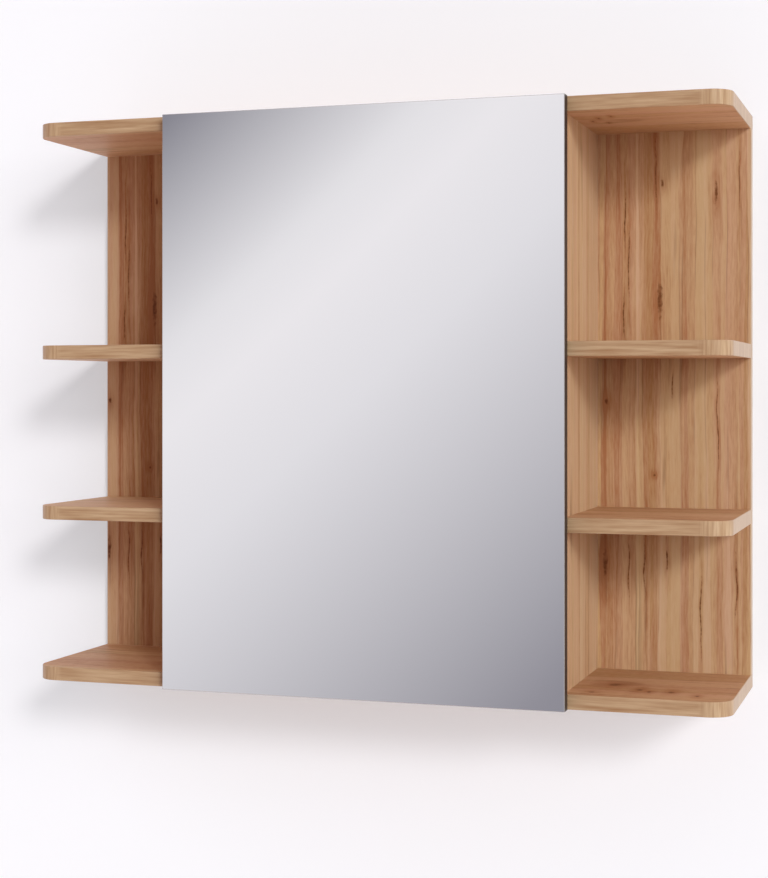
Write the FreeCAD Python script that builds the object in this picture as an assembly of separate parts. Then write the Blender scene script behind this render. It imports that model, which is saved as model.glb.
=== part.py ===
import FreeCAD, Part
import math
import os

# Wall-hung bathroom cabinet with one mirror door between two columns of open shelf bays.
# Millimetres. X runs along the wall, Y runs into the wall, Z is up.
# The origin lies midway between the two keyhole hangers, on the rear face that meets the wall.

# Overall sizes
WIDTH = 800.0
HEIGHT = 646.0
DEPTH = 200.0
BOARD = 16.0
EDGE_BAND = 1.0
BAND_EASE_SHARE = 0.8
END_RADIUS = 25.0
HANGER_DROP = 60.0

# Open bays, counted from the bottom panel up
LOWER_BAY = 170.0
MIDDLE_BAY = 170.0

# Door
DOOR_WIDTH = 460.0
DOOR_OVERHANG = 4.0
DOOR_GAP = 1.0
DOOR_BOARD = 12.0
TAPE_THICKNESS = 0.5
TAPE_WIDTH = 14.0
TAPE_COUNT = 4
TAPE_MARGIN = 45.0
GLASS = 3.0
GLASS_ARRIS = 0.5
BUMPER_RADIUS = 4.0
BUMPER_INSET = 60.0

# Closed middle part
BACK_SHEET = 3.0
BACK_SHEET_INSET = 11.0
GROOVE_DEPTH = 6.0
GROOVE_PLAY = 0.2
INNER_LOWER_HEIGHT = 215.0
INNER_UPPER_HEIGHT = 420.0
INNER_SHELF_SETBACK = 24.0
INNER_SHELF_PLAY = 1.5

# Shelf pins
PIN_RADIUS = 2.5
PIN_REACH = 8.0
PIN_SEAT = 8.0
PIN_COLLAR_RADIUS = 4.0
PIN_COLLAR = 1.2
PIN_FRONT = 150.0
PIN_REAR = 45.0
PIN_PITCH = 32.0

# Knock-down fittings
FIT_PLAY = 0.05
CAM_RADIUS = 7.5
CAM_DEPTH = 12.5
CAM_SETBACK = 24.0
CAM_FRONT = 160.0
CAM_REAR = 45.0
CAM_SLOT = 1.6
CAM_SLOT_LENGTH = 8.0
CAM_SLOT_DEPTH = 1.5
BOLT_RADIUS = 3.5
BOLT_NECK_RADIUS = 2.0
BOLT_THREAD_RADIUS = 2.5
BOLT_HEAD = 4.0
BOLT_SEAT = 11.0
DOWEL_RADIUS = 4.0
DOWEL_LENGTH = 30.0
DOWEL_SEAT = 9.0
DOWEL_CHAMFER = 1.0
SCREW_RADIUS = 3.5
SCREW_CORE_RADIUS = 2.5
SCREW_HEAD_RADIUS = 5.0
SCREW_HEAD = 2.0
SCREW_LENGTH = 50.0
SHELF_FIXING_SPREAD = 100.0
BACK_FIXING_SPREAD = 110.0

# Keyhole hanger plates
HANGER_WIDTH = 40.0
HANGER_HEIGHT = 70.0
HANGER_PLATE = 2.0
HANGER_CORNER = 6.0
KEYHOLE_RADIUS = 5.5
KEYHOLE_SLOT_RADIUS = 2.75
KEYHOLE_RISE = 14.0
KEYHOLE_POCKET = 10.0
KEYHOLE_POCKET_MARGIN = 2.5
HANGER_SCREW_SPREAD = 56.0
HANGER_SCREW_RADIUS = 1.75
HANGER_SCREW_HEAD_RADIUS = 3.5
HANGER_SCREW_LENGTH = 13.0

# Concealed hinges: pivots of the closed door, given as (across, forward) from the inner front corner
# of the left partition
HINGE_INSET = 100.0
ARM_REAR_PIVOT = (17.0, -28.0)
ARM_FRONT_PIVOT = (26.0, -4.0)
CUP_OUTER_PIVOT = (-9.5, 5.0)
CUP_INNER_PIVOT = (-2.0, 5.8)
OUTER_LINK_BEND = (3.5, 1.4)
ARM_PIN_RADIUS = 1.5
CUP_PIN_RADIUS = 1.1
PIVOT_PLAY = 0.05
LINK_EYE_RADIUS = 2.7
LINK_HALF_WIDTH = 1.3
OUTER_LINK_HALF = 4.5
LINK_SIDE_PLAY = 0.5
INNER_LINK_PLATE = 1.6
ARM_WALL = 1.2
ARM_LENGTH = 76.0
ARM_NOSE = 4.6
ARM_FRONT_MARGIN = 3.0
ARM_REAR_MARGIN = 4.5
ARM_BEND_FRONT = 8.0
ARM_BEND_REAR = 12.0
ARM_FOOT_GAP = 2.0
CUP_EDGE_DISTANCE = 3.0
CUP_RADIUS = 17.5
CUP_DEPTH = 10.5
CUP_FLOOR = 0.9
CUP_WALL = 0.7
CUP_FLANGE = 0.8
CUP_EAR_OFFSET = 9.5
CUP_EAR_SPREAD = 48.0
CUP_EAR_RADIUS = 7.0
CUP_PIN_SEAT = 1.2
CUP_SCREW_RADIUS = 1.8
CUP_SCREW_HEAD_RADIUS = 3.4
CUP_SCREW_LENGTH = 11.0
PLATE_BASE = 3.0
PLATE_SCREW_SETBACK = 37.0
PLATE_SCREW_SPREAD = 32.0
PLATE_WING_RADIUS = 8.0
PLATE_RIDGE = 9.0
PLATE_RIDGE_FRONT = 42.0
PLATE_RIDGE_REAR = 74.0
PLATE_SCREW_RADIUS = 2.2
PLATE_SCREW_HEAD_RADIUS = 4.2
PLATE_SCREW_LENGTH = 14.0
CLAMP_SCREW_SETBACK = 58.0
CLAMP_SCREW_RADIUS = 3.0
CLAMP_SCREW_HEAD_RADIUS = 4.5
CLAMP_SCREW_HEAD = 2.0
CLAMP_SCREW_BITE = 5.0
CLAMP_RISE = 5.0

# Places that follow from the sizes above
V = FreeCAD.Vector
X_AXIS = V(1, 0, 0)
Y_AXIS = V(0, 1, 0)
Z_AXIS = V(0, 0, 1)
TOP = HANGER_DROP
BOTTOM = TOP - HEIGHT
TOP_UNDER = TOP - BOARD
BOTTOM_OVER = BOTTOM + BOARD
END = WIDTH / 2
FRONT = -DEPTH
PARTITION_OUT = DOOR_WIDTH / 2 - DOOR_OVERHANG
PARTITION_IN = PARTITION_OUT - BOARD
PARTITION_MID = PARTITION_IN + BOARD / 2
BACK_PANEL_FRONT = -BOARD
BACK_PANEL_MID = -BOARD / 2
BAND_EASE = EDGE_BAND * BAND_EASE_SHARE
SHELF_LEVELS = {"lower": BOTTOM_OVER + LOWER_BAY, "upper": BOTTOM_OVER + LOWER_BAY + BOARD + MIDDLE_BAY}
INNER_LEVELS = {"lower": BOTTOM + INNER_LOWER_HEIGHT, "upper": BOTTOM + INNER_UPPER_HEIGHT}
HINGE_LEVELS = {"lower": BOTTOM + HINGE_INSET, "upper": TOP - HINGE_INSET}
GROOVE_FRONT = -(BACK_SHEET_INSET + BACK_SHEET + GROOVE_PLAY)
GROOVE_BACK = -(BACK_SHEET_INSET - GROOVE_PLAY)
GROOVE_END = PARTITION_IN + GROOVE_DEPTH
DOOR_BACK = FRONT - DOOR_GAP
DOOR_FACE = DOOR_BACK - DOOR_BOARD
GLASS_BACK = DOOR_FACE - TAPE_THICKNESS
HANGER_X = (PARTITION_OUT + END) / 2
CUP_CENTRE = CUP_EDGE_DISTANCE + CUP_RADIUS - BOARD - DOOR_OVERHANG
INNER_LINK_INSIDE = OUTER_LINK_HALF + LINK_SIDE_PLAY
INNER_LINK_HALF = INNER_LINK_INSIDE + INNER_LINK_PLATE
ARM_INSIDE = INNER_LINK_HALF + 2 * PIVOT_PLAY + LINK_SIDE_PLAY
ARM_HALF = ARM_INSIDE + ARM_WALL

# Solids of each node, and the cutters waiting for each board
nodes = {}
cutters = {}


def add(node, *solids):
    """Put solids into a node."""
    nodes.setdefault(node, []).extend(solids)


def drill(board, *shapes):
    """Remember cutters for a board."""
    cutters.setdefault(board, []).extend(shapes)


def box(x0, x1, y0, y1, z0, z1):
    """Block between two corners."""
    return Part.makeBox(x1 - x0, y1 - y0, z1 - z0, V(x0, y0, z0))


def rod(start, direction, radius, length):
    """Cylinder from a start point along a direction."""
    return Part.makeCylinder(radius, length, start, direction)


def turned(steps, start, direction):
    """Solid of revolution from (distance, radius) steps along a direction from a start point."""
    outline = [V(0, 0, steps[0][0])]
    outline += [V(radius, 0, distance) for distance, radius in steps]
    outline += [V(0, 0, steps[-1][0])]
    face = Part.Face(Part.makePolygon(outline + outline[:1]))
    solid = face.revolve(V(0, 0, 0), Z_AXIS, 360)
    solid.Placement = FreeCAD.Placement(start, FreeCAD.Rotation(Z_AXIS, direction))
    return solid


def mirrored(shape):
    """The same piece on the other side of the cabinet's middle plane."""
    return shape.mirror(V(0, 0, 0), X_AXIS)


def slab(x0, x1, y_front, y_back, z, left_radius, right_radius):
    """Horizontal board whose front corners are rounded, each by its own radius."""
    bulge = 1 - math.sqrt(0.5)
    left = V(x0, y_front + left_radius, z)
    right = V(x1, y_front + right_radius, z)
    front_left = V(x0 + left_radius, y_front, z)
    front_right = V(x1 - right_radius, y_front, z)
    back_left = V(x0, y_back, z)
    back_right = V(x1, y_back, z)
    edges = [Part.makeLine(back_left, left)]
    if left_radius:
        middle = V(x0 + left_radius * bulge, y_front + left_radius * bulge, z)
        edges.append(Part.Arc(left, middle, front_left).toShape())
    edges.append(Part.makeLine(front_left, front_right))
    if right_radius:
        middle = V(x1 - right_radius * bulge, y_front + right_radius * bulge, z)
        edges.append(Part.Arc(front_right, middle, right).toShape())
    edges += [Part.makeLine(right, back_right), Part.makeLine(back_right, back_left)]
    return Part.Face(Part.Wire(edges)).extrude(Z_AXIS * BOARD)


def eased(solid, picks):
    """Round off the edges of a band whose middles the test picks."""
    return solid.makeFillet(BAND_EASE, [edge for edge in solid.Edges if picks(edge.CenterOfMass)])


def off_middle(place, middle):
    """Whether an edge lies on a face of a board rather than in the middle of its thickness."""
    return abs(place - middle) > BOARD / 4


def cam_joint(board, panel, edge_point, across, face):
    """Knock-down joint: a cam in the board draws a bolt that is screwed into the panel.

    edge_point lies on the board's edge, in the middle of its thickness. across points over the joint
    into the panel, and face points out of the board face that shows the cam.
    """
    centre = edge_point - across * CAM_SETBACK
    mouth = centre + face * (BOARD / 2)
    foot = centre - across * (BOLT_HEAD / 2)
    shoulder = CAM_SETBACK + BOLT_HEAD / 2
    bolt_hole = rod(foot, across, BOLT_RADIUS + FIT_PLAY, shoulder)
    cam = rod(mouth, -face, CAM_RADIUS, CAM_DEPTH).cut(bolt_hole)
    for slot_way in (across, across.cross(face)):
        start = mouth - slot_way * (CAM_SLOT_LENGTH / 2) - face * CAM_SLOT_DEPTH
        side = slot_way.cross(face) * (CAM_SLOT / 2)
        floor = Part.makePolygon([start + side, start - side, start - side + slot_way * CAM_SLOT_LENGTH,
                                  start + side + slot_way * CAM_SLOT_LENGTH, start + side])
        cam = cam.cut(Part.Face(floor).extrude(face * CAM_SLOT_DEPTH))
    bolt_steps = [
        (0, BOLT_RADIUS),
        (BOLT_HEAD, BOLT_RADIUS),
        (BOLT_HEAD, BOLT_NECK_RADIUS),
        (shoulder - BOLT_HEAD, BOLT_NECK_RADIUS),
        (shoulder - BOLT_HEAD, BOLT_RADIUS),
        (shoulder, BOLT_RADIUS),
        (shoulder, BOLT_THREAD_RADIUS),
        (shoulder + BOLT_SEAT, BOLT_THREAD_RADIUS),
    ]
    add("cam_locks", cam)
    add("cam_bolts", turned(bolt_steps, foot, across))
    drill(board, rod(mouth, -face, CAM_RADIUS + FIT_PLAY, CAM_DEPTH), bolt_hole)
    drill(panel, rod(edge_point, across, BOLT_THREAD_RADIUS + FIT_PLAY, BOLT_SEAT))


def dowel_joint(board, panel, joint_point, across):
    """Wooden dowel set in a short hole across the joint in the panel and a long one in the board."""
    start = joint_point + across * DOWEL_SEAT
    steps = [
        (0, DOWEL_RADIUS - DOWEL_CHAMFER),
        (DOWEL_CHAMFER, DOWEL_RADIUS),
        (DOWEL_LENGTH - DOWEL_CHAMFER, DOWEL_RADIUS),
        (DOWEL_LENGTH, DOWEL_RADIUS - DOWEL_CHAMFER),
    ]
    hole = rod(start, -across, DOWEL_RADIUS + FIT_PLAY, DOWEL_LENGTH)
    add("dowels", turned(steps, start, -across))
    drill(board, hole)
    drill(panel, hole)


def panel_screw(board, shelf, head_point, direction):
    """Countersunk panel screw through a board into the edge of a shelf."""
    def steps(play):
        return [
            (0, SCREW_HEAD_RADIUS + play),
            (SCREW_HEAD, SCREW_RADIUS + play),
            (BOARD, SCREW_RADIUS + play),
            (BOARD, SCREW_CORE_RADIUS + play),
            (SCREW_LENGTH, SCREW_CORE_RADIUS + play),
        ]
    hole = turned(steps(FIT_PLAY), head_point, direction)
    add("panel_screws", turned(steps(0), head_point, direction))
    drill(board, hole)
    drill(shelf, hole)


def countersunk(head_point, direction, radius, head_radius, length):
    """Small countersunk wood screw, and the cutter for its hole."""
    def steps(play):
        return [(0, head_radius + play), (head_radius - radius, radius + play), (length, radius + play)]
    return turned(steps(0), head_point, direction), turned(steps(FIT_PLAY), head_point, direction)


def full_width_panels():
    """Top and bottom panels: one edge band runs along the front and round both rounded ends."""
    inner_end = END - EDGE_BAND
    inner_radius = END_RADIUS - EDGE_BAND
    groove = (-GROOVE_END, GROOVE_END, GROOVE_FRONT, GROOVE_BACK)
    levels = {"top": (TOP_UNDER, TOP_UNDER), "bottom": (BOTTOM, BOTTOM_OVER - GROOVE_DEPTH)}
    for name, (z, groove_z) in levels.items():
        outer = slab(-END, END, FRONT, 0, z, END_RADIUS, END_RADIUS)
        outer = eased(outer, lambda edge: edge.y < -EDGE_BAND and off_middle(edge.z, z + BOARD / 2))
        panel = slab(-inner_end, inner_end, FRONT + EDGE_BAND, 0, z, inner_radius, inner_radius)
        add(f"{name}_panel", panel)
        add(f"{name}_panel_edging", outer.cut(panel))
        drill(f"{name}_panel", box(*groove, groove_z, groove_z + GROOVE_DEPTH))


def side_boards():
    """Partition, back panel and open shelves of the right side, each with its edge band."""
    height = (BOTTOM_OVER, TOP_UNDER)
    banded_front = FRONT + EDGE_BAND
    banded_end = END - EDGE_BAND
    add("right_partition", box(PARTITION_IN, PARTITION_OUT, banded_front, 0, *height))
    band = box(PARTITION_IN, PARTITION_OUT, FRONT, banded_front, *height)
    band = eased(band, lambda edge: edge.y < banded_front - BAND_EASE and off_middle(edge.x, PARTITION_MID))
    add("right_partition_edging", band)
    drill("right_partition", box(PARTITION_IN, GROOVE_END, GROOVE_FRONT, GROOVE_BACK, *height))
    add("right_back_panel", box(PARTITION_OUT, banded_end, BACK_PANEL_FRONT, 0, *height))
    band = box(banded_end, END, BACK_PANEL_FRONT, 0, *height)
    band = eased(band, lambda edge: edge.x > banded_end + BAND_EASE and off_middle(edge.y, BACK_PANEL_MID))
    add("right_back_panel_edging", band)
    for level, z in SHELF_LEVELS.items():
        outer = slab(PARTITION_OUT, END, FRONT, BACK_PANEL_FRONT, z, 0, END_RADIUS)
        outer = eased(outer, lambda edge: (
            edge.x > PARTITION_OUT + EDGE_BAND
            and edge.y < BACK_PANEL_FRONT - EDGE_BAND
            and off_middle(edge.z, z + BOARD / 2)
        ))
        shelf = slab(PARTITION_OUT, banded_end, banded_front, BACK_PANEL_FRONT, z, 0, END_RADIUS - EDGE_BAND)
        add(f"right_{level}_shelf", shelf)
        add(f"right_{level}_shelf_edging", outer.cut(shelf))


def side_joints():
    """Cams, bolts, dowels and screws that hold the right side together."""
    partition, back = "right_partition", "right_back_panel"
    for panel, z, across in (("top_panel", TOP_UNDER, Z_AXIS), ("bottom_panel", BOTTOM_OVER, -Z_AXIS)):
        for y in (-CAM_FRONT, -CAM_REAR):
            cam_joint(partition, panel, V(PARTITION_MID, y, z), across, -X_AXIS)
        dowel_joint(partition, panel, V(PARTITION_MID, -(CAM_FRONT + CAM_REAR) / 2, z), across)
        cam_joint(back, panel, V(HANGER_X + BACK_FIXING_SPREAD / 2, BACK_PANEL_MID, z), across, Y_AXIS)
        dowel_joint(back, panel, V(HANGER_X - BACK_FIXING_SPREAD / 2, BACK_PANEL_MID, z), across)
    shelf_mid = (FRONT + BACK_PANEL_FRONT) / 2
    for level, z in SHELF_LEVELS.items():
        shelf = f"right_{level}_shelf"
        middle = z + BOARD / 2
        panel_screw(partition, shelf, V(PARTITION_IN, shelf_mid, middle), X_AXIS)
        for side in (-1, 1):
            dowel_y = shelf_mid + side * SHELF_FIXING_SPREAD / 2
            dowel_joint(shelf, partition, V(PARTITION_OUT, dowel_y, middle), -X_AXIS)
            panel_screw(back, shelf, V(HANGER_X + side * BACK_FIXING_SPREAD / 2, 0, middle), -Y_AXIS)


def shelf_supports():
    """Collared steel pins of the right partition, with a spare hole above and below each one."""
    steps = [
        (0, PIN_RADIUS),
        (PIN_REACH - PIN_COLLAR, PIN_RADIUS),
        (PIN_REACH - PIN_COLLAR, PIN_COLLAR_RADIUS),
        (PIN_REACH, PIN_COLLAR_RADIUS),
        (PIN_REACH, PIN_RADIUS),
        (PIN_REACH + PIN_SEAT, PIN_RADIUS),
    ]
    for z in INNER_LEVELS.values():
        for y in (-PIN_FRONT, -PIN_REAR):
            seat = V(PARTITION_IN, y, z - PIN_RADIUS)
            add("shelf_pins", turned(steps, seat - X_AXIS * PIN_REACH, X_AXIS))
            for step in (-1, 0, 1):
                start = seat + Z_AXIS * (step * PIN_PITCH)
                drill("right_partition", rod(start, X_AXIS, PIN_RADIUS + FIT_PLAY, PIN_SEAT))


def upright_slot(x, radius, rise, y, depth):
    """Cutter of a slot with round ends that rises from Z = 0, cut forward from the plane y."""
    slot = box(x - radius, x + radius, y - depth, y, 0, rise)
    return slot.fuse([rod(V(x, y, z), -Y_AXIS, radius, depth) for z in (0, rise)])


def hanger():
    """Keyhole plate of the right side, let in flush behind the back panel over a pocket."""
    half, rise = HANGER_WIDTH / 2, HANGER_HEIGHT / 2
    block = box(HANGER_X - half, HANGER_X + half, -HANGER_PLATE, 0, -rise, rise)
    corners = [e for e in block.Edges if abs(e.tangentAt(e.FirstParameter).y) > 0.5]
    plate = block.makeFillet(HANGER_CORNER, corners)
    drill("right_back_panel", plate.copy())
    plate = plate.cut(rod(V(HANGER_X, 0, 0), -Y_AXIS, KEYHOLE_RADIUS, HANGER_PLATE))
    plate = plate.cut(upright_slot(HANGER_X, KEYHOLE_SLOT_RADIUS, KEYHOLE_RISE, 0, HANGER_PLATE))
    pocket_radius = KEYHOLE_RADIUS + KEYHOLE_POCKET_MARGIN
    drill("right_back_panel", upright_slot(HANGER_X, pocket_radius, KEYHOLE_RISE, 0, KEYHOLE_POCKET))
    for side in (-1, 1):
        head = V(HANGER_X, 0, side * HANGER_SCREW_SPREAD / 2)
        screw, hole = countersunk(
            head, -Y_AXIS, HANGER_SCREW_RADIUS, HANGER_SCREW_HEAD_RADIUS, HANGER_SCREW_LENGTH
        )
        plate = plate.cut(hole)
        add("hanger_screws", screw)
        drill("right_back_panel", hole)
    add("right_hanger_plate", plate)


def middle_part():
    """Thin back sheet in the grooves, and the two inner shelves that lie on the pins."""
    reach = GROOVE_END - GROOVE_PLAY
    sheet_y = (-(BACK_SHEET_INSET + BACK_SHEET), -BACK_SHEET_INSET)
    sheet_z = (BOTTOM_OVER - GROOVE_DEPTH, TOP_UNDER + GROOVE_DEPTH - GROOVE_PLAY)
    add("centre_back_sheet", box(-reach, reach, *sheet_y, *sheet_z))
    half = PARTITION_IN - INNER_SHELF_PLAY
    shelf_front = FRONT + INNER_SHELF_SETBACK
    shelf_back = sheet_y[0] - INNER_SHELF_PLAY
    for level, z in INNER_LEVELS.items():
        banded = shelf_front + EDGE_BAND
        add(f"inner_{level}_shelf", box(-half, half, banded, shelf_back, z, z + BOARD))
        band = box(-half, half, shelf_front, banded, z, z + BOARD)
        band = eased(band, lambda edge: edge.y < banded - BAND_EASE and off_middle(edge.z, z + BOARD / 2))
        add(f"inner_{level}_shelf_edging", band)


def hinge_point(pivot, z):
    """Point of a hinge plane from its (across, forward) place and its height."""
    return V(-PARTITION_IN + pivot[0], FRONT - pivot[1], z)


def hinge_prism(outline, z0, z1):
    """Prism over a polygon of (across, forward) places."""
    points = [hinge_point(p, z0) for p in outline]
    return Part.Face(Part.makePolygon(points + points[:1])).extrude(Z_AXIS * (z1 - z0))


def hinge_box(across, forward, z0, z1):
    """Block over ranges of across and forward."""
    low, high = hinge_point((across[0], forward[1]), z0), hinge_point((across[1], forward[0]), z1)
    return box(low.x, high.x, low.y, high.y, z0, z1)


def hinge_pin(pivot, radius, z, half):
    """Pivot pin, or the cutter of its bore, about a level z."""
    return rod(hinge_point(pivot, z - half), Z_AXIS, radius, 2 * half)


def strip(start, end, z0, z1):
    """Straight strip of link width with round ends."""
    a, b = hinge_point(start, z0), hinge_point(end, z0)
    along = (b - a).normalize()
    side = Z_AXIS.cross(along) * LINK_HALF_WIDTH
    body = Part.Face(Part.makePolygon([a + side, b + side, b - side, a - side, a + side]))
    ends = [rod(p, Z_AXIS, LINK_HALF_WIDTH, z1 - z0) for p in (a, b)]
    return body.extrude(Z_AXIS * (z1 - z0)).fuse(ends)


def eye(pivot, z0, z1):
    """Round eye of a link."""
    return rod(hinge_point(pivot, z0), Z_AXIS, LINK_EYE_RADIUS, z1 - z0)


def hinge_links(level, z):
    """Cranked outer link in the middle, and the forked inner link whose plates pass on both sides of it."""
    low, high = z - OUTER_LINK_HALF, z + OUTER_LINK_HALF
    outer = strip(ARM_REAR_PIVOT, OUTER_LINK_BEND, low, high).fuse([
        strip(OUTER_LINK_BEND, CUP_OUTER_PIVOT, low, high),
        eye(ARM_REAR_PIVOT, low, high),
        eye(CUP_OUTER_PIVOT, low, high),
    ])
    outer = outer.cut([
        hinge_pin(ARM_REAR_PIVOT, ARM_PIN_RADIUS + PIVOT_PLAY, z, OUTER_LINK_HALF),
        hinge_pin(CUP_OUTER_PIVOT, CUP_PIN_RADIUS + PIVOT_PLAY, z, OUTER_LINK_HALF),
    ])
    add(f"{level}_outer_link", outer.removeSplitter())
    sleeve = eye(ARM_FRONT_PIVOT, z - INNER_LINK_HALF, z + INNER_LINK_HALF)
    plates = []
    for z0 in (z - INNER_LINK_HALF, z + INNER_LINK_INSIDE):
        plates.append(strip(ARM_FRONT_PIVOT, CUP_INNER_PIVOT, z0, z0 + INNER_LINK_PLATE))
        plates.append(eye(CUP_INNER_PIVOT, z0, z0 + INNER_LINK_PLATE))
    inner = sleeve.fuse(plates).cut([
        hinge_pin(ARM_FRONT_PIVOT, ARM_PIN_RADIUS + PIVOT_PLAY, z, INNER_LINK_HALF),
        hinge_pin(CUP_INNER_PIVOT, CUP_PIN_RADIUS, z, INNER_LINK_HALF),
    ])
    add(f"{level}_inner_link", inner.removeSplitter())
    add("inner_link_pins", hinge_pin(CUP_INNER_PIVOT, CUP_PIN_RADIUS, z, INNER_LINK_HALF + LINK_SIDE_PLAY / 2))


def hinge_arm(level, z):
    """Channel-shaped arm: high at the front round the two pivots, low at the rear over the plate's ridge."""
    foot = PLATE_BASE + ARM_FOOT_GAP
    rear_top = PLATE_BASE + PLATE_RIDGE + CLAMP_RISE
    nose_top = ARM_FRONT_PIVOT[0] + ARM_NOSE
    nose_front = ARM_FRONT_PIVOT[1] + ARM_FRONT_MARGIN
    nose_under = ARM_FRONT_PIVOT[0] - ARM_REAR_MARGIN
    rear_under = ARM_REAR_PIVOT[0] - ARM_REAR_MARGIN
    bend_front = ARM_REAR_PIVOT[1] + ARM_BEND_FRONT
    bend_rear = ARM_REAR_PIVOT[1] - ARM_BEND_REAR
    crest = [(nose_top, bend_front), (rear_top, bend_rear)]
    outline = [
        (foot, -ARM_LENGTH),
        (foot, bend_rear),
        (rear_under, ARM_REAR_PIVOT[1]),
        (nose_under, nose_front),
        (nose_top, nose_front),
        *crest,
        (rear_top, -ARM_LENGTH),
    ]
    hollow = [(0, -2 * ARM_LENGTH), (0, ARM_LENGTH), (nose_top - ARM_WALL, ARM_LENGTH)]
    hollow += [(across - ARM_WALL, forward) for across, forward in crest]
    hollow += [(rear_top - ARM_WALL, -2 * ARM_LENGTH)]
    arm = hinge_prism(outline, z - ARM_HALF, z + ARM_HALF)
    arm = arm.cut(hinge_prism(hollow, z - ARM_INSIDE, z + ARM_INSIDE))
    for pivot in (ARM_REAR_PIVOT, ARM_FRONT_PIVOT):
        pin = hinge_pin(pivot, ARM_PIN_RADIUS, z, ARM_HALF)
        arm = arm.cut(pin)
        add("hinge_arm_pins", pin)
    head = hinge_point((rear_top, -CLAMP_SCREW_SETBACK), z)
    shank = rod(head, -X_AXIS, CLAMP_SCREW_RADIUS, CLAMP_RISE + CLAMP_SCREW_BITE)
    arm = arm.cut(rod(head, -X_AXIS, CLAMP_SCREW_RADIUS + FIT_PLAY, CLAMP_RISE))
    add("hinge_clamp_screws", shank.fuse(rod(head, X_AXIS, CLAMP_SCREW_HEAD_RADIUS, CLAMP_SCREW_HEAD)))
    add(f"{level}_hinge_arm", arm)


def hinge_plate(level, z):
    """Cross-shaped mounting plate screwed to the left partition, with a ridge that the arm grips."""
    ridge = (-PLATE_RIDGE_REAR, -PLATE_RIDGE_FRONT)
    wing_y = FRONT + PLATE_SCREW_SETBACK
    wing_front = PLATE_WING_RADIUS - PLATE_SCREW_SETBACK
    wing = (-PLATE_SCREW_SETBACK - PLATE_WING_RADIUS, wing_front)
    spread = PLATE_SCREW_SPREAD / 2
    pieces = [
        hinge_box((0, PLATE_BASE), wing, z - spread, z + spread),
        hinge_box((PLATE_BASE, PLATE_BASE + PLATE_RIDGE), ridge, z - ARM_INSIDE, z + ARM_INSIDE),
    ]
    for side in (-1, 1):
        pieces.append(rod(V(-PARTITION_IN, wing_y, z + side * spread), X_AXIS, PLATE_WING_RADIUS, PLATE_BASE))
    plate = hinge_box((0, PLATE_BASE), (-ARM_LENGTH, wing_front), z - ARM_HALF, z + ARM_HALF).fuse(pieces)
    for side in (-1, 1):
        head = V(-PARTITION_IN + PLATE_BASE, wing_y, z + side * spread)
        screw, hole = countersunk(
            head, -X_AXIS, PLATE_SCREW_RADIUS, PLATE_SCREW_HEAD_RADIUS, PLATE_SCREW_LENGTH
        )
        plate = plate.cut(hole)
        add("hinge_plate_screws", screw)
        drill("left_partition", hole)
    clamp = hinge_point((PLATE_BASE + PLATE_RIDGE, -CLAMP_SCREW_SETBACK), z)
    plate = plate.cut(rod(clamp, -X_AXIS, CLAMP_SCREW_RADIUS + FIT_PLAY, CLAMP_SCREW_BITE))
    add(f"{level}_hinge_plate", plate.removeSplitter())


def hinge_cup(level, z):
    """Cup let into the door, hollowed to a trough for the links, with a flange and two screw ears."""
    mouth = hinge_point((CUP_CENTRE, DOOR_GAP), z)
    ear_x = mouth.x + CUP_EAR_OFFSET
    flange_y = (mouth.y, mouth.y + CUP_FLANGE)
    ear_half = CUP_EAR_SPREAD / 2
    body = rod(mouth, -Y_AXIS, CUP_RADIUS, CUP_DEPTH)
    drill("door_panel", rod(mouth, -Y_AXIS, CUP_RADIUS + FIT_PLAY, CUP_DEPTH))
    flange = [box(ear_x - CUP_EAR_RADIUS, ear_x + CUP_EAR_RADIUS, *flange_y, z - ear_half, z + ear_half)]
    for side in (-1, 1):
        centre = V(ear_x, mouth.y, z + side * ear_half)
        flange.append(rod(centre, Y_AXIS, CUP_EAR_RADIUS, CUP_FLANGE))
    trough_z = (z - ARM_INSIDE, z + ARM_INSIDE)
    trough_y = (mouth.y - CUP_DEPTH + CUP_FLOOR, mouth.y)
    trough = box(mouth.x - CUP_RADIUS, mouth.x + CUP_RADIUS, *trough_y, *trough_z)
    trough = trough.common(rod(mouth, -Y_AXIS, CUP_RADIUS - CUP_WALL, CUP_DEPTH))
    notch = box(mouth.x - CUP_RADIUS, ear_x + CUP_EAR_RADIUS, *flange_y, *trough_z)
    pin = hinge_pin(CUP_OUTER_PIVOT, CUP_PIN_RADIUS, z, ARM_INSIDE + CUP_PIN_SEAT)
    cup = body.fuse(flange).cut([trough, notch, pin])
    add("cup_pins", pin)
    for side in (-1, 1):
        head = V(ear_x, flange_y[1], z + side * ear_half)
        screw, hole = countersunk(head, -Y_AXIS, CUP_SCREW_RADIUS, CUP_SCREW_HEAD_RADIUS, CUP_SCREW_LENGTH)
        cup = cup.cut(hole)
        add("cup_screws", screw)
        drill("door_panel", hole)
    add(f"{level}_hinge_cup", cup.removeSplitter())


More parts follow.
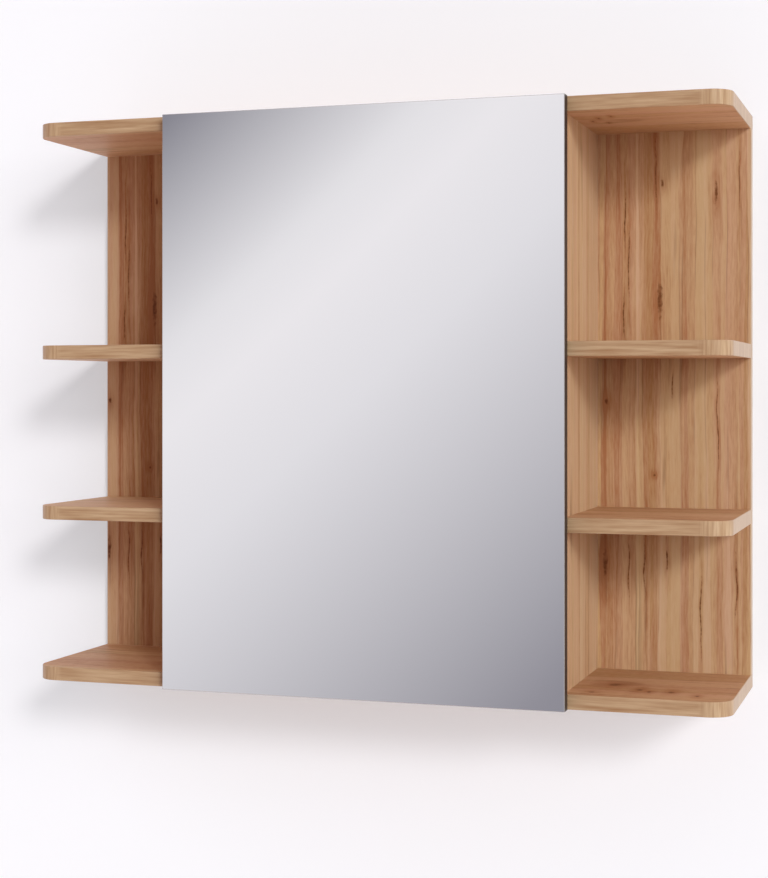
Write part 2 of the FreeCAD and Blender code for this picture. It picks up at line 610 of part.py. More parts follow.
def door():
    """Door board with its dark edge band, the taped-on mirror glass and the bumpers."""
    half = DOOR_WIDTH / 2
    band = EDGE_BAND
    outer = box(-half, half, DOOR_FACE, DOOR_BACK, BOTTOM, TOP)
    outer = eased(outer, lambda edge: edge.y in (DOOR_FACE, DOOR_BACK))
    panel = box(-half + band, half - band, DOOR_FACE, DOOR_BACK, BOTTOM + band, TOP - band)
    add("door_panel", panel)
    add("door_edging", outer.cut(panel))
    pitch = (DOOR_WIDTH - 2 * TAPE_MARGIN) / (TAPE_COUNT - 1)
    for i in range(TAPE_COUNT):
        x = -half + TAPE_MARGIN + i * pitch
        tape_x = (x - TAPE_WIDTH / 2, x + TAPE_WIDTH / 2)
        add("mirror_tape", box(*tape_x, GLASS_BACK, DOOR_FACE, BOTTOM + TAPE_MARGIN, TOP - TAPE_MARGIN))
    glass = box(-half, half, GLASS_BACK - GLASS, GLASS_BACK, BOTTOM, TOP)
    rim = [e for e in glass.Edges if abs(e.CenterOfMass.y - (GLASS_BACK - GLASS)) < GLASS_ARRIS / 2]
    add("mirror_glass", glass.makeChamfer(GLASS_ARRIS, rim))
    for z in (BOTTOM + BUMPER_INSET, TOP - BUMPER_INSET):
        add("door_bumpers", rod(V(PARTITION_MID, DOOR_BACK, z), Y_AXIS, BUMPER_RADIUS, DOOR_GAP))


def mirror_to_left():
    """Repeat the right side on the left: its boards with their holes, and every fitting in a group."""
    for node in [n for n in nodes if n.startswith("right_")]:
        left = node.replace("right_", "left_")
        add(left, *[mirrored(s) for s in nodes[node]])
        drill(left, *[mirrored(c) for c in cutters.get(node, [])])
    for group in ("cam_locks", "cam_bolts", "dowels", "panel_screws", "shelf_pins", "hanger_screws"):
        add(group, *[mirrored(s) for s in nodes[group]])
    for panel in ("top_panel", "bottom_panel"):
        drill(panel, *[mirrored(c) for c in cutters[panel]])


full_width_panels()
side_boards()
side_joints()
shelf_supports()
hanger()
mirror_to_left()
middle_part()
door()
for hinge_level, hinge_z in HINGE_LEVELS.items():
    hinge_plate(hinge_level, hinge_z)
    hinge_arm(hinge_level, hinge_z)
    hinge_links(hinge_level, hinge_z)
    hinge_cup(hinge_level, hinge_z)

os.makedirs("parts", exist_ok=True)
for node, solids in nodes.items():
    if cutters.get(node):
        solids = [solid.cut(cutters[node]).removeSplitter() for solid in solids]
    shape = solids[0] if len(solids) == 1 else Part.makeCompound(solids)
    shape.exportStep(f"parts/{node}.step")
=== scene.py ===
import math

import bpy
import numpy as np
from bpy.props import FloatProperty, FloatVectorProperty, PointerProperty
from mathutils import Euler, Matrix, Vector


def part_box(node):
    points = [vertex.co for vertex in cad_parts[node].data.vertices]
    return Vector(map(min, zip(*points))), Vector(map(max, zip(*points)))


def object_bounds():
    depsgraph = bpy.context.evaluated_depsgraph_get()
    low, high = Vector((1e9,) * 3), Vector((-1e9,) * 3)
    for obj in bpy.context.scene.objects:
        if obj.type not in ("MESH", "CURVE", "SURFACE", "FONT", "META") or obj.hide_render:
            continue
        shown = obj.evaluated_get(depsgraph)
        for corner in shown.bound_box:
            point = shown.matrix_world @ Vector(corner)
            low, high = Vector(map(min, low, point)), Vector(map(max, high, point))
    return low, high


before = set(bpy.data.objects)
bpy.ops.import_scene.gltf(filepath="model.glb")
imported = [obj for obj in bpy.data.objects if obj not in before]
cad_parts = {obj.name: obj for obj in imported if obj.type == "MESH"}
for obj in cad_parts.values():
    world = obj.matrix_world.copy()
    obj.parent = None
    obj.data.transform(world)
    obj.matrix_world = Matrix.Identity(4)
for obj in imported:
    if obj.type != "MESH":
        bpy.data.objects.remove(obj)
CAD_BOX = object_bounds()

bl_info = {
    "name": "Mirror cabinet looks",
    "version": (1, 0, 0),
    "blender": (4, 5, 0),
    "location": "3D View > Sidebar > Cabinet",
    "description": "Finishes, studio and camera for a wall-hung mirror cabinet",
    "category": "Object",
}

MM = 0.001

# Sockets of the colour mix node
MIX_FACTOR = 0
MIX_A = 6
MIX_B = 7
MIX_RESULT = 2

SIDES = ("left", "right")
LEVELS = ("lower", "upper")

# Photograph's frame and camera, from the vanishing lines of the panels
FRAME_HEIGHT_PX = 878
FOCAL_PX = 1761.0
HORIZON_PX = 388.4
SENSOR_MM = 36.0
CAMERA_PLACE = (0.6175, -2.0224, -0.2479)
CAMERA_YAW_DEG = 17.96

# Lamps, from the shadows on the wall and in the bays: name, way to the lamp, how many degrees wide
# it looks, and strength as a share of the key light
LAMPS = (
    ("key", (0.70, -1.0, 0.443), 10.0, 1.0),
    ("side", (1.3, -1.0, 0.40), 28.0, 0.74),
    ("low", (0.70, -1.0, 0.08), 28.0, 0.51),
)

# Middle of the cabinet's outline on the wall
CABINET_MIDDLE = (0.0, 0.0, (CAD_BOX[0][2] + CAD_BOX[1][2]) / 2)


def linear(hex_colour):
    """Turns an sRGB hex colour such as #b98a60 into linear red, green and blue."""
    srgb = np.array([int(hex_colour[i:i + 2], 16) for i in (1, 3, 5)]) / 255
    return tuple(np.where(srgb <= 0.04045, srgb / 12.92, ((srgb + 0.055) / 1.055) ** 2.4))


def opaque(colour):
    """Adds full alpha to a linear colour."""
    return (*colour, 1.0)


def add_node(tree, kind, inputs=None, stops=None, **settings):
    """Adds a node with its settings, fills or links its inputs and lays its colour stops."""
    node = tree.nodes.new(kind)
    for name, value in settings.items():
        setattr(node, name, value)
    for key, value in (inputs or {}).items():
        if isinstance(value, bpy.types.NodeSocket):
            tree.links.new(value, node.inputs[key])
        else:
            node.inputs[key].default_value = value
    for index, (place, colour) in enumerate(stops or ()):
        elements = node.color_ramp.elements
        element = elements[index] if index < 2 else elements.new(place)
        element.position = place
        element.color = opaque(colour)
    return node


def new_material(name):
    """Gives an empty node material and its tree."""
    material = bpy.data.materials.new(name)
    material.use_nodes = True
    material.node_tree.nodes.clear()
    return material, material.node_tree


def surface(tree, inputs):
    """Ends a material with a principled shader."""
    shader = add_node(tree, "ShaderNodeBsdfPrincipled", inputs)
    add_node(tree, "ShaderNodeOutputMaterial", {"Surface": shader.outputs["BSDF"]})


def dress(names, material):
    """Puts a material on CAD nodes."""
    for name in names:
        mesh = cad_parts[name].data
        mesh.materials.clear()
        mesh.materials.append(material)


class CabinetOak(bpy.types.PropertyGroup):
    """Oak decor of the boards and their edge bands"""

    pale: FloatVectorProperty(
        name="Pale strips", description="Colour of the palest strips of the decor",
        subtype="COLOR", size=3, default=linear("#cfb596"))
    golden: FloatVectorProperty(
        name="Golden strips", description="Colour of the common strips of the decor",
        subtype="COLOR", size=3, default=linear("#c4a27e"))
    brown: FloatVectorProperty(
        name="Brown strips", description="Colour of the darkest strips of the decor",
        subtype="COLOR", size=3, default=linear("#a4724e"))
    crack: FloatVectorProperty(
        name="Cracks", description="Colour of cracks, joints and knots",
        subtype="COLOR", size=3, default=linear("#6e4226"))
    band_pale: FloatVectorProperty(
        name="Pale band", description="Colour of the palest streaks of the edge bands",
        subtype="COLOR", size=3, default=linear("#c8b08e"))
    band_dark: FloatVectorProperty(
        name="Dark band", description="Colour of the darkest streaks of the edge bands",
        subtype="COLOR", size=3, default=linear("#99744f"))
    strip_width: FloatProperty(
        name="Strip width", description="Usual width of a strip across the grain",
        subtype="DISTANCE", unit="LENGTH", default=15 * MM)
    strip_length: FloatProperty(
        name="Strip length", description="Usual length of a strip along the grain",
        subtype="DISTANCE", unit="LENGTH", default=1500 * MM)


class CabinetDoor(bpy.types.PropertyGroup):
    """Mirror door"""

    board: FloatVectorProperty(
        name="Door board", description="Colour of the dark board behind the mirror",
        subtype="COLOR", size=3, default=linear("#2b221d"))
    silver: FloatVectorProperty(
        name="Silver", description="Colour of the silvering seen through the glass",
        subtype="COLOR", size=3, default=linear("#f2f2f3"))


class CabinetStage(bpy.types.PropertyGroup):
    """Wall, floor and light"""

    wall: FloatVectorProperty(
        name="Wall", description="Colour of the paint on the wall and the floor",
        subtype="COLOR", size=3, default=linear("#e2dadb"))
    glow: FloatProperty(
        name="Wall glow", description="Strength of the white that shadows on the wall leave alone",
        default=0.32)
    glow_tint: FloatVectorProperty(
        name="Glow tint", description="Tint of the wall's glow, cool as daylight",
        subtype="COLOR", size=3, default=linear("#c6f2ff"))
    glow_lift: FloatProperty(
        name="Wall lift", description="How much whiter the wall glows far from the cabinet",
        default=0.05)
    fill: FloatProperty(
        name="Fill light", description="Strength of the soft light from all round", default=1.0)
    fill_tint: FloatVectorProperty(
        name="Fill tint", description="Tint of the soft light, warm as in a room with much wood",
        subtype="COLOR", size=3, default=linear("#ffdbd4"))
    bounce_tint: FloatVectorProperty(
        name="Bounce tint", description="Tint of the light that the wall gives back",
        subtype="COLOR", size=3, default=linear("#ffede7"))
    key: FloatProperty(
        name="Key light", description="Strength of the lamp at the upper right", default=1.1)
    key_tint: FloatVectorProperty(
        name="Key tint", description="Tint of the key light, cool as daylight",
        subtype="COLOR", size=3, default=linear("#f7fdff"))


# Oak decor

# Noises of the decor's tone: width and length of a mark in mm, and the noise's share
FLAME = (30.0, 170.0, 0.42)
STREAK = (3.2, 120.0, 0.42)
FIBRE = (1.8, 18.0, 0.6)

# Cells of the decor's tone: width and length in mm, and the cell tint's share
STRIP_SHARE = 0.45
SLAT = (6.0, 500.0, 0.26)

# Tints of the narrow cells, from yellowish to pinkish
SLAT_TINTS = ((0.0, "#fdfdf3"), (0.5, "#fffdfb"), (1.0, "#fff8fd"))

# Joints on the borders of the wide cells: how far their line is full and where it has faded, in cell
# widths, and its share
JOINT_EDGES = (0.01, 0.035)
JOINT_SHARE = 0.4

# Stretches where the joints open: width and length of their noise in mm, and its values from where
# the joints open to where they are fully open
OPEN_STRETCH = (26.0, 130.0)
OPEN_VALUES = (0.46, 0.64)

# Marks of the decor, knots and cracks, in mm from a board's decor corner: across and along the
# grain, half width and half length
BACK_MARKS = (
    (74, 556, 2.2, 5), (67, 565, 0.7, 45), (135, 543, 2.0, 16), (71, 424, 3.4, 24),
    (32, 515, 0.9, 40), (36, 465, 1.0, 45), (30, 405, 1.0, 30), (161, 550, 0.6, 40),
    (10, 307, 2.4, 4), (85, 325, 0.9, 16), (137, 280, 0.7, 60), (65, 223, 1.6, 2),
    (9, 120, 3.2, 17), (54, 115, 0.9, 35), (36, 115, 0.8, 35), (80, 128, 1.2, 14),
    (118, 66, 0.9, 55), (158, 98, 1.0, 38),
)
TOP_MARKS = ((80, 640, 4, 1.5), (60, 650, 5, 1.5), (95, 655, 4, 1.5), (50, 665, 4, 1.5))
BOTTOM_MARKS = (
    (50, 696, 8, 4), (40, 708, 5, 3), (46, 731, 7, 3.5), (22, 650, 5, 3.5), (75, 665, 10, 8),
    (30, 760, 5, 3),
)

# How marks wander: width and length of the noise, and its reach, in mm
WANDER = (20.0, 40.0, 6.0)

# A rim's share as a power of the core's, how far it pulls the grain in half widths, and how much
# it darkens the tone
RIM_POWER = 0.2
RIM_PULL = 0.5
RIM_TONE = -0.3


def stretched(tree, place, width_mm, length_mm):
    """Scales a place so that a pattern's marks are so wide across and so long along Z."""
    inverse = Vector((1 / width_mm, 1 / width_mm, 1 / length_mm)) / MM
    return add_node(tree, "ShaderNodeVectorMath", {0: place, 1: inverse},
                    operation="MULTIPLY").outputs[0]


def oak_grain_group(oak):
    """Makes the oak decor as a node group that reads a place whose Z runs along the grain.

    Long cells of two widths give strips of differing tone and tint, the borders of the wide ones
    give fine joints, and three sizes of stretched noise give flames, streaks and fibres.
    """
    tree = bpy.data.node_groups.new("Oak decor", "ShaderNodeTree")
    tree.interface.new_socket("Vector", in_out="INPUT", socket_type="NodeSocketVector")
    tree.interface.new_socket("Tone", in_out="INPUT", socket_type="NodeSocketFloat")
    tree.interface.new_socket("Contrast", in_out="INPUT", socket_type="NodeSocketFloat")
    tree.interface.new_socket("Colour", in_out="OUTPUT", socket_type="NodeSocketColor")
    tree.interface.new_socket("Height", in_out="OUTPUT", socket_type="NodeSocketFloat")
    board = add_node(tree, "NodeGroupInput")
    place = board.outputs["Vector"]

    cells = stretched(tree, place, oak.strip_width / MM, oak.strip_length / MM)
    slats = stretched(tree, place, SLAT[0], SLAT[1])
    strip = add_node(tree, "ShaderNodeTexVoronoi", {"Vector": cells, "Scale": 1.0})
    strip = add_node(tree, "ShaderNodeSeparateColor", {"Color": strip.outputs["Color"]})
    slat = add_node(tree, "ShaderNodeTexVoronoi", {"Vector": slats, "Scale": 1.0})
    slat = add_node(tree, "ShaderNodeSeparateColor", {"Color": slat.outputs["Color"]})
    parts = [(strip.outputs["Red"], STRIP_SHARE), (slat.outputs["Red"], SLAT[2])]
    for width_mm, length_mm, share in (FLAME, STREAK, FIBRE):
        noise = add_node(tree, "ShaderNodeTexNoise", {
            "Vector": stretched(tree, place, width_mm, length_mm), "Scale": 1.0, "Detail": 3.0,
            "Roughness": 0.6})
        parts.append((noise.outputs["Fac"], share))
    fibre = parts[-1][0]

    spread = -sum(share for _, share in parts) / 2
    for part, share in parts:
        spread = add_node(tree, "ShaderNodeMath", {0: part, 1: share, 2: spread},
                          operation="MULTIPLY_ADD").outputs[0]
    tone = add_node(tree, "ShaderNodeMath", {
        0: spread, 1: board.outputs["Contrast"], 2: board.outputs["Tone"]}, operation="MULTIPLY_ADD")
    wood = add_node(tree, "ShaderNodeValToRGB", {"Fac": tone.outputs[0]}, stops=(
        (0.0, oak.brown), (0.45, oak.golden), (1.0, oak.pale)))
    tint = add_node(tree, "ShaderNodeValToRGB", {"Fac": slat.outputs["Green"]}, stops=[
        (stop, linear(colour)) for stop, colour in SLAT_TINTS])
    wood = add_node(tree, "ShaderNodeMix", {
        MIX_FACTOR: 1.0, MIX_A: wood.outputs["Color"], MIX_B: tint.outputs["Color"]},
        data_type="RGBA", blend_type="MULTIPLY")

    borders = add_node(tree, "ShaderNodeTexVoronoi", {"Vector": cells, "Scale": 1.0},
                       feature="DISTANCE_TO_EDGE")
    joint = add_node(tree, "ShaderNodeMapRange", {
        "Value": borders.outputs["Distance"], "From Min": JOINT_EDGES[0], "From Max": JOINT_EDGES[1],
        "To Min": JOINT_SHARE, "To Max": 0.0})
    opened = add_node(tree, "ShaderNodeTexNoise", {
        "Vector": stretched(tree, place, *OPEN_STRETCH), "Scale": 1.0, "Detail": 2.0})
    open_share = add_node(tree, "ShaderNodeMapRange", {
        "Value": opened.outputs["Fac"], "From Min": OPEN_VALUES[0], "From Max": OPEN_VALUES[1]})
    crack = add_node(tree, "ShaderNodeMath", {
        0: joint.outputs["Result"], 1: open_share.outputs["Result"]}, operation="MULTIPLY")
    coloured = add_node(tree, "ShaderNodeMix", {
        MIX_FACTOR: crack.outputs[0], MIX_A: wood.outputs[MIX_RESULT], MIX_B: opaque(oak.crack)},
        data_type="RGBA")
    height = add_node(tree, "ShaderNodeMath", {0: fibre, 1: crack.outputs[0]}, operation="SUBTRACT")
    add_node(tree, "NodeGroupOutput", {
        "Colour": coloured.outputs[MIX_RESULT], "Height": height.outputs[0]})
    return tree


def flow_round_marks(tree, place, marks):
    """Bends a place round knots and cracks, and gives the shares of their rims and of their cores.

    A core's share falls off as a half to the power of the squared distance in mark sizes, where a
    fine noise makes the marks wander. A rim's share is a low power of that, and the place moves
    inwards by the rim's share.
    """
    rim, core = 0.0, 0.0
    wave_width, wave_length, wave_reach = WANDER
    wander = add_node(tree, "ShaderNodeTexNoise", {
        "Vector": stretched(tree, place, wave_width, wave_length), "Scale": 1.0, "Detail": 1.0})
    wandering = add_node(tree, "ShaderNodeVectorMath", {
        0: wander.outputs["Color"], 1: (wave_reach * MM, 0.0, 0.0), 2: place}, operation="MULTIPLY_ADD")
    for across, up, half_width, half_length in marks:
        inverse = Vector((1 / half_width, 1 / half_width, 1 / half_length)) / MM
        offset = Vector((-across - wave_reach / 2, 0.0, -up)) * MM * inverse
        local = add_node(tree, "ShaderNodeVectorMath", {
            0: wandering.outputs[0], 1: inverse, 2: offset}, operation="MULTIPLY_ADD").outputs[0]
        square = add_node(tree, "ShaderNodeVectorMath", {0: local, 1: local}, operation="DOT_PRODUCT")
        deep = add_node(tree, "ShaderNodeMath", {
            0: 0.5, 1: square.outputs["Value"]}, operation="POWER").outputs[0]
        wide = add_node(tree, "ShaderNodeMath", {0: deep, 1: RIM_POWER}, operation="POWER").outputs[0]
        pull = add_node(tree, "ShaderNodeVectorMath", {0: local, "Scale": wide}, operation="SCALE")
        reach = -RIM_PULL * half_width * MM
        place = add_node(tree, "ShaderNodeVectorMath", {
            0: pull.outputs[0], 1: (reach, reach, 0.0), 2: place}, operation="MULTIPLY_ADD").outputs[0]
        rim = add_node(tree, "ShaderNodeMath", {0: rim, 1: wide}, operation="MAXIMUM").outputs[0]
        core = add_node(tree, "ShaderNodeMath", {0: core, 1: deep}, operation="MAXIMUM").outputs[0]
    return place, rim, core


# Turns that bring a pattern's length to Z: of grain that runs up or along the cabinet
UPRIGHT = (0.0, 0.0, 0.0)
SIDEWAYS = (-math.pi / 2, -math.pi / 2, 0.0)

# Scale and contrast of the decor, which on laid boards is broad and calm
FIGURES = {UPRIGHT: ((1.0, 1.0, 1.0), 1.0), SIDEWAYS: ((0.4, 0.4, 2.0), 0.6)}

# Ways that the boards' faces look
ACROSS_X = (1.0, 0.0, 0.0)
ACROSS_Y = (0.0, 1.0, 0.0)
ACROSS_Z = (0.0, 0.0, 1.0)

# Tone of the decor, and the painted shade and painted sheen of some boards, as a difference in tone
MIDDLE_TONE = 0.5
# The left back panel gets painted shade because it lies in shade, and the bottom panel and right shelves
# get it to offset the light on their tops; the right partition's paler tone is a painted sheen
PAINTED_SHADE_AND_SHEEN = {"left_back_panel": -0.11, "right_partition": 0.08, "bottom_panel": -0.1,
         "right_lower_shelf": -0.16, "right_upper_shelf": -0.16}

# Marks on the boards that show them, and how far left of a board's edge its decor starts
MARKS = {"left_back_panel": BACK_MARKS, "right_back_panel": BACK_MARKS, "top_panel": TOP_MARKS,
         "bottom_panel": BOTTOM_MARKS}
DECOR_AHEAD_MM = {"left_back_panel": 7.0}

# Boards whose first strip is a pale or a dark one: how far in mm from the decor's start the strip
# reaches, and how much paler it is
# The right back panel's dark first strip is partly the decor and partly painted shade in its corner by
# the partition
FIRST_STRIPS_AND_CORNER_SHADE = {"left_back_panel": (22.0, 0.4), "right_back_panel": (10.0, -0.2)}
STRIP_BLUR_MM = 1.0

# How far apart boards without marks lie in the decor
DECOR_STEP_MM = (37.0, 53.0, 410.0)

# Sway of the grain: width and length of a wave, and its reach, in mm
SWAY = (45.0, 110.0, 6.0)

# Specks that fray a knot: width and length in mm, and their share. Then the values between which a
# frayed core shows, and its depth
SPECK = (2.0, 5.0, -1.2)
KNOT_VALUES = (-0.1, 0.4)
KNOT_SHARE = 0.95

# Chips of the particle board
CHIP_MM = 2.2
CHIP_COLOURS = ((0.0, "#8c6c48"), (0.5, "#b3946c"), (1.0, "#d2b994"))

# How squarely a face has to look the board's way to carry the film
FILM_FACING = 0.7


def board_tone(tree, name, place):
    """Gives the decor's tone on a board with its painted shade and sheen, which steps after a pale or a
    dark first strip; the dark one is partly painted shade.
    """
    # The board's painted shade darkens its tone, and the partition's painted sheen pales it
    tone = MIDDLE_TONE + PAINTED_SHADE_AND_SHEEN.get(name, 0.0)
    if name not in FIRST_STRIPS_AND_CORNER_SHADE:
        return tone
    # A negative lift darkens the first strip, which on the right back panel is partly painted shade
    reach_mm, lift = FIRST_STRIPS_AND_CORNER_SHADE[name]
    across = add_node(tree, "ShaderNodeSeparateXYZ", {"Vector": place})
    return add_node(tree, "ShaderNodeMapRange", {
        "Value": across.outputs["X"], "From Min": (reach_mm - STRIP_BLUR_MM) * MM,
        "From Max": (reach_mm + STRIP_BLUR_MM) * MM, "To Min": tone + lift,
        "To Max": tone}).outputs["Result"]


def chip_colour(tree, place):
    """Gives the colour of pressed chips: small cells, each of one tone."""
    chips = add_node(tree, "ShaderNodeTexVoronoi", {"Vector": place, "Scale": 1 / (CHIP_MM * MM)})
    tint = add_node(tree, "ShaderNodeSeparateColor", {"Color": chips.outputs["Color"]})
    return add_node(tree, "ShaderNodeValToRGB", {"Fac": tint.outputs["Red"]}, stops=[
        (stop, linear(colour)) for stop, colour in CHIP_COLOURS]).outputs["Color"]


def oak_board(name, decor, oak, start, turn, face_axis):
    """Pressed oak-decor laminate on particle board.

    The laminate's satin film shows strips and cracks along the grain. Cut edges and bored holes,
    which face another way than the board, show pale pressed chips.
    """
    material, tree = new_material(f"Pressed oak laminate {name}")
    scale, contrast = FIGURES[turn]
    coords = add_node(tree, "ShaderNodeTexCoord")
    mapped = add_node(tree, "ShaderNodeMapping", {
        "Vector": coords.outputs["Object"], "Location": start, "Rotation": turn}).outputs[0]
    wave_width, wave_length, wave_reach = SWAY
    sway = add_node(tree, "ShaderNodeTexNoise", {
        "Vector": stretched(tree, mapped, wave_width, wave_length), "Scale": 1.0, "Detail": 2.0})
    shift = add_node(tree, "ShaderNodeVectorMath", {
        0: sway.outputs["Color"], 1: (0.5, 0.5, 0.5)}, operation="SUBTRACT")
    swayed = add_node(tree, "ShaderNodeVectorMath", {
        0: shift.outputs[0], 1: (wave_reach * MM, 0.0, 0.0), 2: mapped},
        operation="MULTIPLY_ADD").outputs[0]
    bent, rim, core = flow_round_marks(tree, swayed, MARKS.get(name, ()))
    # The tone carries the board's painted shade and sheen, and knots' rims darken it further
    darker = add_node(tree, "ShaderNodeMath", {
        0: rim, 1: RIM_TONE, 2: board_tone(tree, name, swayed)}, operation="MULTIPLY_ADD")
    scaled = add_node(tree, "ShaderNodeVectorMath", {0: bent, 1: scale}, operation="MULTIPLY")
    grain = add_node(tree, "ShaderNodeGroup", node_tree=decor)
    tree.links.new(scaled.outputs[0], grain.inputs["Vector"])
    tree.links.new(darker.outputs[0], grain.inputs["Tone"])
    grain.inputs["Contrast"].default_value = contrast
    speck_width, speck_length, speck_share = SPECK
    specks = add_node(tree, "ShaderNodeTexNoise", {
        "Vector": stretched(tree, bent, speck_width, speck_length), "Scale": 1.0, "Detail": 2.0})
    ragged = add_node(tree, "ShaderNodeMath", {
        0: specks.outputs["Fac"], 1: speck_share, 2: core}, operation="MULTIPLY_ADD")
    knot = add_node(tree, "ShaderNodeMapRange", {
        "Value": ragged.outputs[0], "From Min": KNOT_VALUES[0], "From Max": KNOT_VALUES[1],
        "To Max": KNOT_SHARE})
    film_colour = add_node(tree, "ShaderNodeMix", {
        MIX_FACTOR: knot.outputs["Result"], MIX_A: grain.outputs["Colour"],
        MIX_B: opaque(oak.crack)}, data_type="RGBA")

    facing = add_node(tree, "ShaderNodeVectorMath", {
        0: coords.outputs["Normal"], 1: face_axis}, operation="DOT_PRODUCT")
    facing = add_node(tree, "ShaderNodeMath", {0: facing.outputs["Value"]}, operation="ABSOLUTE")
    film = add_node(tree, "ShaderNodeMath", {
        0: facing.outputs[0], 1: FILM_FACING}, operation="GREATER_THAN")
    mixed = add_node(tree, "ShaderNodeMix", {
        MIX_FACTOR: film.outputs[0], MIX_A: chip_colour(tree, coords.outputs["Object"]),
        MIX_B: film_colour.outputs[MIX_RESULT]}, data_type="RGBA")
    rough = add_node(tree, "ShaderNodeMapRange", {
        "Value": grain.outputs["Height"], "To Min": 0.6, "To Max": 0.45})
    bump = add_node(tree, "ShaderNodeBump", {
        "Height": grain.outputs["Height"], "Strength": 0.12, "Distance": 0.3 * MM})
    surface(tree, {"Base Color": mixed.outputs[MIX_RESULT], "Roughness": rough.outputs["Result"],
                   "Normal": bump.outputs["Normal"], "IOR": 1.5, "Specular IOR Level": 0.2})
    return material


def decor_start(name, turn):
    """Gives the way from a marked board's decor corner, turned as the decor is, to the origin.

    The corner is the lowest one, but on the bottom panel it lies on the upper face.
    """
    low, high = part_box(name)
    corner = Vector((low[0], low[1], high[2] if name == "bottom_panel" else low[2]))
    corner.x -= DECOR_AHEAD_MM.get(name, 0.0) * MM
    return -(Euler(turn).to_matrix() @ corner)


# How far from a board's end the edge band's print turns upright, and over how far to either side
PRINT_TURN_MM = 30.0
PRINT_BLUR_MM = 4.0

# Streaks of the print on fronts and on ends: width and length in mm, and how much paler they are; on the
# ends the paleness is partly the print and partly a painted sheen
FRONT_STREAK = (3.2, 60.0, 0.0)
END_STREAK_AND_SHEEN = (2.4, 40.0, 0.06)

# Where a streak is fully dark and fully pale, as noise values
STREAK_VALUES = (0.22, 0.8)

# How far apart the boards' edge bands lie in the print
PRINT_STEP_MM = (29.0, 41.0, 130.0)

# Fine grit of the print's lacquer
GRIT_MM = 1.5


def oak_edge_band(name, oak, start, front_turn):
    """Printed oak-decor edge band, ironed on.

    Straight fronts show soft streaks along the edge. Round a corner and along an end the print's streaks
    stand upright and are paler, partly as a painted sheen.
    """
    material, tree = new_material(f"Ironed oak edge band {name}")
    coords = add_node(tree, "ShaderNodeTexCoord")
    mapped = add_node(tree, "ShaderNodeMapping", {
        "Vector": coords.outputs["Object"], "Location": start, "Rotation": front_turn})
    upright = add_node(tree, "ShaderNodeMapping", {
        "Vector": coords.outputs["Object"], "Location": start})
    colours = []
    # The ends' paler streaks are partly a painted sheen
    for source, (width_mm, length_mm, paler) in ((mapped, FRONT_STREAK), (upright, END_STREAK_AND_SHEEN)):
        streak = add_node(tree, "ShaderNodeTexNoise", {
            "Vector": stretched(tree, source.outputs[0], width_mm, length_mm), "Scale": 1.0,
            "Detail": 3.0, "Roughness": 0.55})
        colours.append(add_node(tree, "ShaderNodeValToRGB", {"Fac": streak.outputs["Fac"]}, stops=(
            (STREAK_VALUES[0] - paler, oak.band_dark), (STREAK_VALUES[1] - paler, oak.band_pale))))
    front_colour, end_colour = (ramp.outputs["Color"] for ramp in colours)
    place = add_node(tree, "ShaderNodeSeparateXYZ", {"Vector": coords.outputs["Object"]})
    out = add_node(tree, "ShaderNodeMath", {0: place.outputs["X"]}, operation="ABSOLUTE")
    turn_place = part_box("top_panel")[1][0] - PRINT_TURN_MM * MM
    front = add_node(tree, "ShaderNodeMapRange", {
        "Value": out.outputs[0], "From Min": turn_place + PRINT_BLUR_MM * MM,
        "From Max": turn_place - PRINT_BLUR_MM * MM})
    colour = add_node(tree, "ShaderNodeMix", {
        MIX_FACTOR: front.outputs["Result"], MIX_A: end_colour, MIX_B: front_colour},
        data_type="RGBA")
    grit = add_node(tree, "ShaderNodeTexNoise", {
        "Vector": coords.outputs["Object"], "Scale": 1 / (GRIT_MM * MM), "Detail": 2.0})
    rough = add_node(tree, "ShaderNodeMapRange", {
        "Value": grit.outputs["Fac"], "To Min": 0.26, "To Max": 0.4})
    bump = add_node(tree, "ShaderNodeBump", {
        "Height": grit.outputs["Fac"], "Strength": 0.06, "Distance": 0.2 * MM})
    surface(tree, {"Base Color": colour.outputs[MIX_RESULT], "Roughness": rough.outputs["Result"],
                   "Normal": bump.outputs["Normal"], "IOR": 1.5})
    return material


class CABINET_OT_oak_boards(bpy.types.Operator):
    """Dresses the boards in oak-decor laminate"""

    bl_idname = "cabinet.oak_boards"
    bl_label = "Oak boards"

    def execute(self, context):
        oak = context.scene.cabinet_oak
        decor = oak_grain_group(oak)
        boards = [("top_panel", SIDEWAYS, ACROSS_Z), ("bottom_panel", SIDEWAYS, ACROSS_Z)]
        boards += [(f"inner_{level}_shelf", SIDEWAYS, ACROSS_Z) for level in LEVELS]
        for side in SIDES:
            boards += [(f"{side}_{level}_shelf", SIDEWAYS, ACROSS_Z) for level in LEVELS]
            boards += [(f"{side}_partition", UPRIGHT, ACROSS_X)]
            boards += [(f"{side}_back_panel", UPRIGHT, ACROSS_Y)]
        for index, (name, turn, face_axis) in enumerate(boards):
            start = Vector(DECOR_STEP_MM) * MM * index
            if name in MARKS:
                start = decor_start(name, turn)
            dress([name], oak_board(name, decor, oak, start, turn, face_axis))
        return {"FINISHED"}


class CABINET_OT_edge_bands(bpy.types.Operator):
    """Dresses the edge bands in printed oak decor"""

    bl_idname = "cabinet.edge_bands"
    bl_label = "Edge bands"

    def execute(self, context):
        oak = context.scene.cabinet_oak
        laid = ["top_panel", "bottom_panel"] + [f"inner_{level}_shelf" for level in LEVELS]
        laid += [f"{side}_{level}_shelf" for side in SIDES for level in LEVELS]
        upright = [f"{side}_{board}" for side in SIDES for board in ("partition", "back_panel")]
        for turn, names in ((SIDEWAYS, laid), (UPRIGHT, upright)):
            for index, name in enumerate(names):
                start = Vector(PRINT_STEP_MM) * index * MM
                dress([f"{name}_edging"], oak_edge_band(name, oak, start, turn))
        return {"FINISHED"}


# Door and fittings

